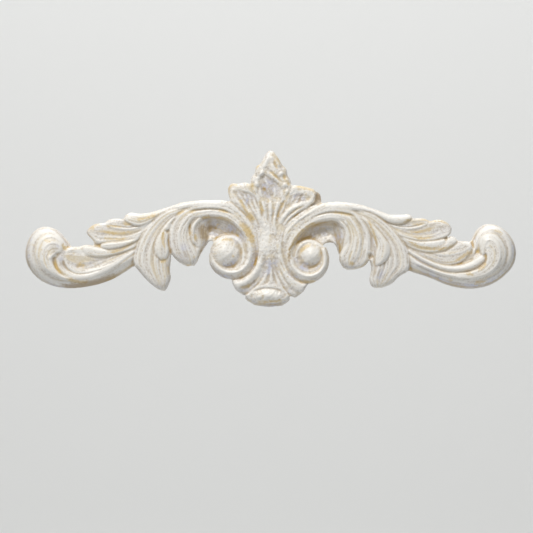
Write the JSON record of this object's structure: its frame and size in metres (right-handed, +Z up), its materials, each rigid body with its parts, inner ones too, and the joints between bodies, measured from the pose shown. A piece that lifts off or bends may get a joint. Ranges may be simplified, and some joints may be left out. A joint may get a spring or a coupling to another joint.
{
  "type": "pediment crest",
  "caption": "Carved scrollwork crest with a central palmette over a shell, a volute on each side, acanthus wings and a flat back; fixed over a doorway, mirror or furniture panel.",
  "frame": {"origin": "on the flat back, at the middle of the crest's length and of its height", "axes": "+X along the crest to the viewer's right as it hangs, +Z up to the palmette's tip, +Y out of the back into the surface it is fixed to; the relief faces -Y"},
  "size_m": [0.246, 0.0122, 0.0786],
  "materials": {
    "ivory_paint": "cast resin under ivory satin paint, brushed along the carving, with ochre and brown left in the recesses"
  },
  "bodies": {
    "root": {"crest": "ivory_paint"}
  },
  "joints": []
}
